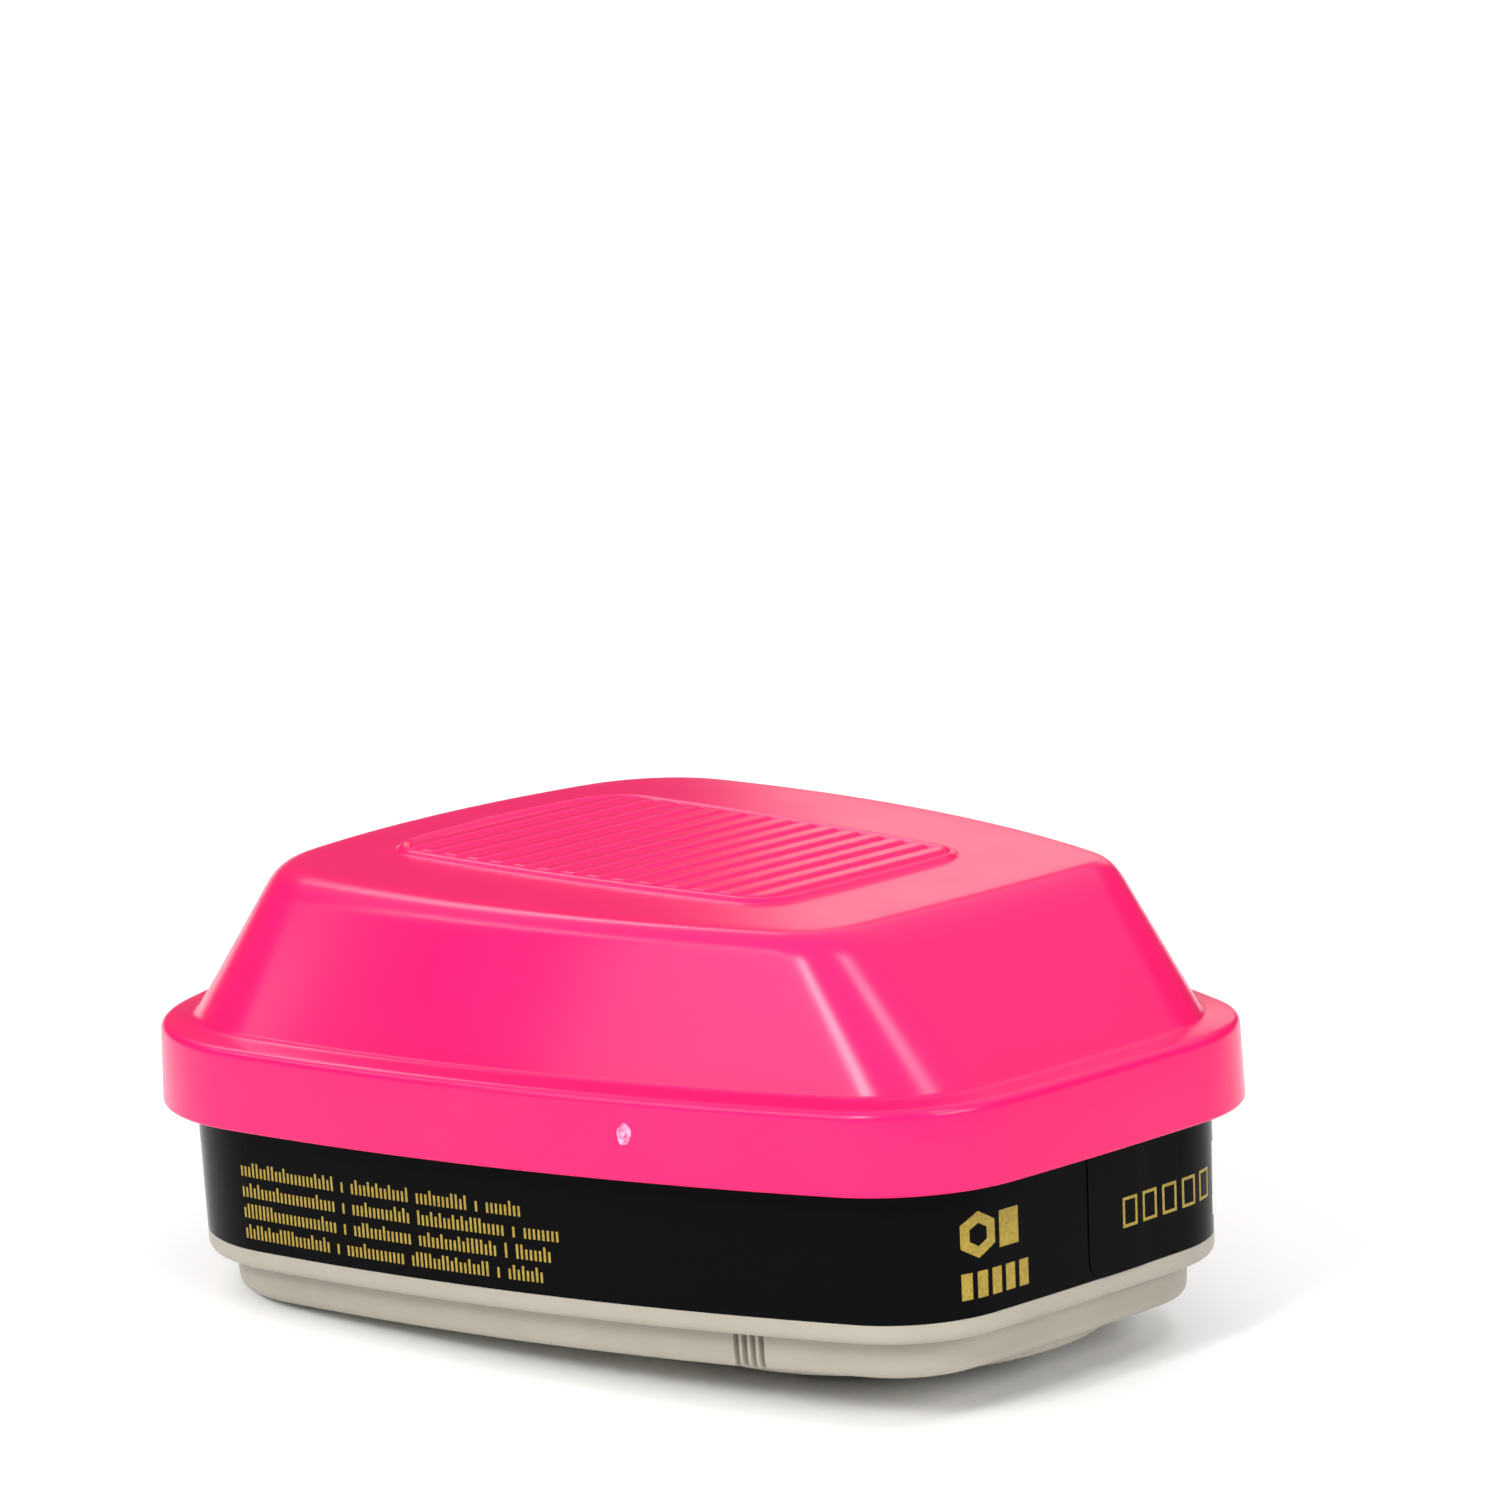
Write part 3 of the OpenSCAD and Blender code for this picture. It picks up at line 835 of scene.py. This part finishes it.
def lug_outline():
    """Inner edge of the bayonet ring, anticlockwise: lugs, notches, coding tooth and stop notch."""
    lug_ends = {end + step for span in LUG_SPANS for end in span for step in (-0.01, 0.01)}
    points = []
    for a in sorted(set(np.arange(0, 360, 1.5)) | lug_ends):
        on_lug = any(low <= a <= high for low, high in LUG_SPANS)
        r = LUG_R if on_lug else NOTCH_R
        if abs(a - CODING_TOOTH_ANGLE) < TOOTH_HALF_ANGLE:
            r = NOTCH_R - TOOTH_DEPTH
        if abs(a - STOP_NOTCH_ANGLE) < TOOTH_HALF_ANGLE:
            r = LUG_R + TOOTH_DEPTH
        points.append((r * math.cos(math.radians(a)), r * math.sin(math.radians(a))))
    return np.array(points)


def bayonet_ring():
    """Insert in the ring seat. Its lugs hold the cartridge on its mask."""
    mesh = Mesh()
    inner = lug_outline()
    inner_rows = mesh.rings([lift(inner, RING_HIGH), lift(inner, RING_LOW)])
    outer_rows = mesh.rings([circle(RING_SEAT_R - 0.04, z, 180) for z in (RING_LOW, RING_HIGH)])
    mesh.fill([outer_rows[0], inner_rows[1]], flip=True)
    mesh.fill([outer_rows[1], inner_rows[0]])
    piece = mesh.build("lug_ring", [SATIN_BEIGE], 30)
    round_edges(piece, 0.14, 3)
    finish_piece(piece, "ring_plastic", "bayonet_ring")


def outlet_scrim():
    """Nonwoven behind the spider, with small lumps at random where the port shows it."""
    mesh = Mesh()
    outer = -LID_INSET - LID_WALL - 0.05
    rows = walls(mesh, even_places(1.5), [(outer, SCRIM_LOW + 0.1, 0), (outer, SCRIM_HIGH, 0)])
    axis = np.linspace(-SOCKET_R - 0.6, SOCKET_R + 0.6, 150)
    x, y = np.meshgrid(axis, axis, indexing="ij")
    rng = np.random.default_rng(7)
    height = np.zeros_like(x)
    for _ in range(260):
        cx, cy = rng.uniform(-14, 14, 2)
        size = rng.uniform(0.5, 1.1)
        height += rng.uniform(0.1, 0.32) * np.exp(-((x - cx) ** 2 + (y - cy) ** 2) / size**2)
    edge = np.maximum(np.abs(x), np.abs(y))
    height = (height - height.mean()) * smooth_step(SOCKET_R + 0.5, SOCKET_R - 0.5, edge)
    grid = np.stack([x, y, SCRIM_LOW + 0.1 + np.clip(height, -0.08, 0.8)], 2)
    mesh.fill([rows[0], border_of(mesh.rings(list(grid), closed=False))], flip=True)
    mesh.fill([rows[-1]])
    piece = mesh.build("scrim_pad", [SCRIM], 80)
    finish_piece(piece, "scrim", "outlet_scrim")


def filter_frame():
    """Collar inside the skirt, flange, and the wall round the pleats.

    Its stations are (grow, blend, z, reach).
    """
    places = even_places(1.0)
    mesh = Mesh()
    stations = [
        (-2.6, PLEAT_WALL_BLEND, FRAME_HIGH, 0.2),
        (-1.5, PLEAT_WALL_BLEND, FRAME_HIGH, 0.2),
        (-1.5, PLEAT_WALL_BLEND, FLANGE_HIGH, 0.3),
        (2, 0, FLANGE_HIGH, 0.3),
        (2, 0, FRAME_LOW, 0.2),
        (1.2, 0, FRAME_LOW, 0.2),
        (1.2, 0, FLANGE_LOW, 0.3),
        (-2.6, PLEAT_WALL_BLEND, FLANGE_LOW, 0.1),
        (-2.6, PLEAT_WALL_BLEND, FRAME_HIGH, 0),
    ]
    mesh.rings([lift(blend_outline(places, b, g), z) for g, b, z in soft_path(stations, 4)])
    piece = mesh.build("frame_shell", [SATIN_BEIGE], 50)
    finish_piece(piece, "frame_plastic", "filter_frame")


# ---------------------------------------------------------------- label and its generic print

# A run is a distance round the label from the narrow end's middle, by way of the +Y side
SEAM_RUN = 0.5
OVERLAP = 9.0
SEAM_CORNER_R = 2.0
LAP_RISE = 0.11
INK = 0.035

# Words of small print as numbers of strokes, for each of the four lines
SMALL_PRINT = (
    (24, 1, 14, 12, 1, 8),
    (24, 1, 14, 20, 1, 8),
    (24, 1, 14, 18, 1, 8),
    (22, 1, 14, 18, 1, 8),
)
PRINT_START_X = 50.6
PRINT_TOP_LINE_Z = 17.1
PRINT_LINE_PITCH = 2.15
PRINT_HEIGHT = 1.05
TALL_STROKE = 1.4
STROKE_PITCH = 0.54
STROKE_WIDTH = 0.27
WORD_GAP = 0.8

# The ring's middle and its radii, and the block beside it, as a run and a height
RING_MIDDLE = (15.2, 17.4)
RING_RADII = (1.15, 2.3)
MARK_BLOCK_AT = (10.1, 15.6)
MARK_BLOCK_SIZE = (2.5, 3.6)

# Five blocks below the ring, and five frames on the other side of the seam
BLOCKS = 5
BLOCKS_AT = (8.9, 11.2)
BLOCK_SIZE = (1.2, 2.6)
BLOCK_PITCH = 1.78
FRAMES_AT = (-6.4, 13.7)
FRAME_SIZE = (2.1, 3.0)
FRAME_LINE = 0.3
FRAME_PITCH = 2.95

# The white block on the far side, and the rows of dashes on it
FAR_PANEL_END_X = -25.5
FAR_PANEL_Z = 11.2
FAR_PANEL_SIZE = (66, 7.4)
DASH_TOP_ROW_Z = 17.0
DASH_ROW_PITCH = 1.7
DASH_ROWS = 4
DASH_HEIGHT = 0.75
LAST_ROW_GAP = 14


def label_wrap():
    """One strip of film round the canister. Its end laps over its start, with a rounded corner."""
    mesh = Mesh()
    spacing = 0.6
    run = np.arange(0, PERIMETER - spacing / 2, spacing)
    film_band(mesh, run, np.zeros(len(run)), np.full(len(run), LABEL_LOW), closed=True)
    lap = np.concatenate([np.linspace(SEAM_RUN - OVERLAP, SEAM_RUN - SEAM_CORNER_R, 16),
                          SEAM_RUN - SEAM_CORNER_R
                          + SEAM_CORNER_R * np.sin(np.linspace(0.1, 1, 10) * math.pi / 2)])
    corner = np.clip(1 - (SEAM_RUN - lap) / SEAM_CORNER_R, 0, 1)
    bottom = LABEL_LOW + SEAM_CORNER_R * (1 - np.sqrt(1 - corner**2))
    film_band(mesh, lap, lap_rise(lap) + 0.01, bottom, closed=False)
    piece = mesh.build("label_film_wrap", [LABEL], 40)
    finish_piece(piece, "label_film", "label")


def lap_rise(run):
    """How far the lap lifts the surface of the label at the given runs."""
    run = (np.asarray(run, float) + PERIMETER / 2) % PERIMETER - PERIMETER / 2
    start = SEAM_RUN - OVERLAP
    return LAP_RISE * smooth_step(start, start + 2.5, run) * (run <= SEAM_RUN)


def film_band(mesh, run, rise, bottom, closed):
    """Thin film between a bottom line and the top of the label."""
    places = place_at_run(run)
    top = np.full(len(run), LABEL_HIGH)
    inner = -LABEL_THICKNESS + 0.01
    rows = mesh.rings([on_wall(places, bottom, inner), on_wall(places, bottom, rise),
                       on_wall(places, top, rise), on_wall(places, top, inner)], closed=closed)
    mesh.bridge(rows[-1], rows[0], closed=closed)
    if not closed:
        mesh.add_faces([[r[0] for r in rows], [r[-1] for r in rows[::-1]]])


def on_label(run, z, off):
    """Points on the label at runs and heights z, standing off it."""
    return on_wall(place_at_run(run), z, lap_rise(run) + off)


def ink_block(mesh, run, z, width, height, off=INK, slot=0):
    """Flat block of ink from run onwards, its foot at z, in short parts that follow the label."""
    stations = np.linspace(run, run + width, max(2, int(width / 0.4) + 1))
    corners = ((z, off), (z + height, off), (z + height, off / 3), (z, off / 3))
    rows = [on_label(stations, level, stand_off) for level, stand_off in corners]
    numbers = mesh.rings(rows, slot, closed=False)
    mesh.bridge(numbers[-1], numbers[0], slot, closed=False)
    mesh.add_faces([[r[0] for r in numbers], [r[-1] for r in numbers[::-1]]], slot)


def ink_frame(mesh, run, z, width, height, line):
    """Open rectangle drawn with thin lines."""
    ink_block(mesh, run, z, line, height)
    ink_block(mesh, run + width - line, z, line, height)
    ink_block(mesh, run + line, z, width - 2 * line, line)
    ink_block(mesh, run + line, z + height - line, width - 2 * line, line)


def ink_ring(mesh, run, z, radii, sides):
    """Ring with straight sides, each in five parts so that it follows the label's bend."""
    angles = (np.arange(sides + 1) + 0.5) * 2 * math.pi / sides
    steps = np.arange(sides * 5) / 5
    across = np.interp(steps, np.arange(sides + 1), np.cos(angles))
    up = np.interp(steps, np.arange(sides + 1), np.sin(angles))
    inner, outer = radii
    rows = [mesh.add_points(on_label(run + r * across, z + r * up, off))
            for r, off in ((outer, INK), (inner, INK), (inner, INK / 3), (outer, INK / 3))]
    for a, b in zip(rows, rows[1:] + rows[:1]):
        mesh.bridge(a, b)


def run_at(x, side):
    """Run at which the label passes x, on the +Y (1) or -Y (-1) side."""
    run = np.interp(place_at_x(x, 0, 5001), FINE_PLACES, FINE_RUN)
    return run if side > 0 else PERIMETER - run


def small_print(mesh, start, z, words, rng):
    """Line of strokes in place of letters. It runs towards the narrow end."""
    at = start
    for word in words:
        for _ in range(word):
            height = PRINT_HEIGHT * (TALL_STROKE if rng.uniform() < 0.3 else 1)
            ink_block(mesh, at - STROKE_WIDTH, z, STROKE_WIDTH, height)
            at -= STROKE_PITCH
        at -= WORD_GAP


def label_print():
    """Generic print: strokes in place of letters, and a plain ring and blocks in place of marks."""
    mesh = Mesh()
    rng = np.random.default_rng(5)
    start = run_at(PRINT_START_X, 1)
    for line, words in enumerate(SMALL_PRINT):
        small_print(mesh, start, PRINT_TOP_LINE_Z - PRINT_LINE_PITCH * line, words, rng)
    ink_ring(mesh, *RING_MIDDLE, RING_RADII, 6)
    ink_block(mesh, *MARK_BLOCK_AT, *MARK_BLOCK_SIZE)
    for i in range(BLOCKS):
        run, z = BLOCKS_AT
        ink_block(mesh, run + BLOCK_PITCH * i, z, *BLOCK_SIZE)
    for i in range(BLOCKS):
        run, z = FRAMES_AT
        ink_frame(mesh, PERIMETER + run - FRAME_PITCH * i, z, *FRAME_SIZE, FRAME_LINE)
    piece = mesh.build("label_print", [GOLD])
    finish_piece(piece, "label_film")
    far_side_panel()


def far_side_panel():
    """White block with grey dashes on the long side that faces away."""
    mesh = Mesh()
    length, height = FAR_PANEL_SIZE
    last = run_at(FAR_PANEL_END_X, -1)
    first = last - length
    ink_block(mesh, first, FAR_PANEL_Z, last - first, height, 0.02)
    rng = np.random.default_rng(11)
    for row in range(DASH_ROWS):
        at = first + 2
        stop = last - 3 - (LAST_ROW_GAP if row == DASH_ROWS - 1 else 0)
        while at < stop:
            width = min(rng.uniform(2.5, 7.5), stop - at)
            if width > 1:
                ink_block(mesh, at, DASH_TOP_ROW_Z - DASH_ROW_PITCH * row, width, DASH_HEIGHT,
                          slot=1)
            at += width + 1
    piece = mesh.build("label_far_panel", [WHITE_INK, GREY_INK])
    finish_piece(piece, "label_film")


# ---------------------------------------------------------------- inner CAD pieces, as they are

for name, material in (("pleated_filter", PLEATS), ("filter_sealant", SEALANT),
                       ("inlet_scrim", SCRIM), ("carbon_bed", CARBON)):
    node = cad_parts[name]
    if not node.material_slots:
        node.data.materials.append(material)
    for socket in node.material_slots:
        socket.material = material

filter_cover()
gate_mark()
canister()
grille()
back_lid()
spider()
bayonet_ring()
outlet_scrim()
filter_frame()
label_wrap()
label_print()


# ---------------------------------------------------------------- floor, light and camera

# The cartridge rests on its port and on the lower edge of its wide end, so in its own frame the
# floor slopes: it touches the sealing bead at one end and the lid's edge at the other.
BEAD_TOUCH = Vector((BEAD_R, 0, 0)) * MM
EDGE_TOUCH = Vector((CANISTER.at([5.0], -LID_INSET - 0.4)[0][0], 0, LID_FACE_Z + 0.4)) * MM
FLOOR_SIZE = 14.0


def floor():
    slope = math.atan2(EDGE_TOUCH.z - BEAD_TOUCH.z, EDGE_TOUCH.x - BEAD_TOUCH.x)
    n = Nodes("pale_floor", (0.93, 0.93, 0.93), 0.7, specular=0.1)
    n.color(n.mix_color(n.ramp(n.noise(300, detail=2), 0.3, 0.7), (0.925, 0.925, 0.925),
                        (0.935, 0.935, 0.935)))
    bpy.ops.mesh.primitive_plane_add(size=FLOOR_SIZE, location=BEAD_TOUCH, rotation=(0, -slope, 0))
    plane = bpy.context.object
    plane.name = "floor"
    plane.data.materials.append(n.material)


def area_light(name, location, target, size, power, color=(1, 1, 1)):
    data = bpy.data.lights.new(name, "AREA")
    data.shape = "RECTANGLE"
    data.size, data.size_y = size
    data.energy = power
    data.color = color
    light = bpy.data.objects.new(name, data)
    bpy.context.scene.collection.objects.link(light)
    light.location = location
    light.rotation_euler = (Vector(target) - Vector(location)).to_track_quat("-Z", "Y").to_euler()


def lights():
    middle = (0.02, 0, 0.02)
    area_light("overhead", (0.6, -0.6, 2.6), (0.6, -0.6, 0), (6, 6), 110)
    area_light("edge_strip", (0.39, 0.7, 0.636), middle, (1.0, 0.08), 2.3)
    area_light("long_side_softbox", (0.02, 0.9, 0.45), middle, (0.78, 0.36), 3.4)
    area_light("corner_strip", (-0.25, 0.78, 0.58), middle, (0.13, 0.24), 3.8)
    area_light("high_narrow_light", (-0.566, 0.04, 0.83), middle, (0.16, 0.16), 1.5)
    area_light("narrow_end_softbox", (-0.85, 0.05, 0.4), middle, (0.4, 0.4), 4.6)
    area_light("right_rear_strip", (0.72, -0.26, 0.7), middle, (0.4, 0.2), 1.0)
    area_light("back_card", (0.38, -0.52, 0.2), middle, (0.25, 0.12), 0.14, (1, 0.86, 0.76))
    area_light("far_floor_light", (0.55, -0.5, 0.9), (1.5, -1.45, 0), (0.5, 0.5), 11)
    world = bpy.data.worlds.new("studio")
    bpy.context.scene.world = world
    world.use_nodes = True
    background = world.node_tree.nodes["Background"]
    background.inputs["Color"].default_value = (1, 1, 1, 1)
    background.inputs["Strength"].default_value = 0.08


CAMERA_AT = (-0.4516, 0.4489, 0.1795)
CAMERA_RIGHT = (-0.699, -0.713, -0.053)
CAMERA_UP = (0.097, -0.167, 0.981)
CAMERA_BACK = (-0.7085, 0.6808, 0.1859)
CAMERA_LENS = 159.4


def camera():
    data = bpy.data.cameras.new("camera")
    data.lens = CAMERA_LENS
    data.sensor_width = 36
    data.clip_start = 0.01
    view = bpy.data.objects.new("camera", data)
    bpy.context.scene.collection.objects.link(view)
    axes = Matrix((CAMERA_RIGHT, CAMERA_UP, CAMERA_BACK)).transposed().to_4x4()
    view.matrix_world = Matrix.Translation(CAMERA_AT) @ axes
    bpy.context.scene.camera = view


floor()
lights()
camera()
bpy.context.scene.view_settings.view_transform = "Standard"
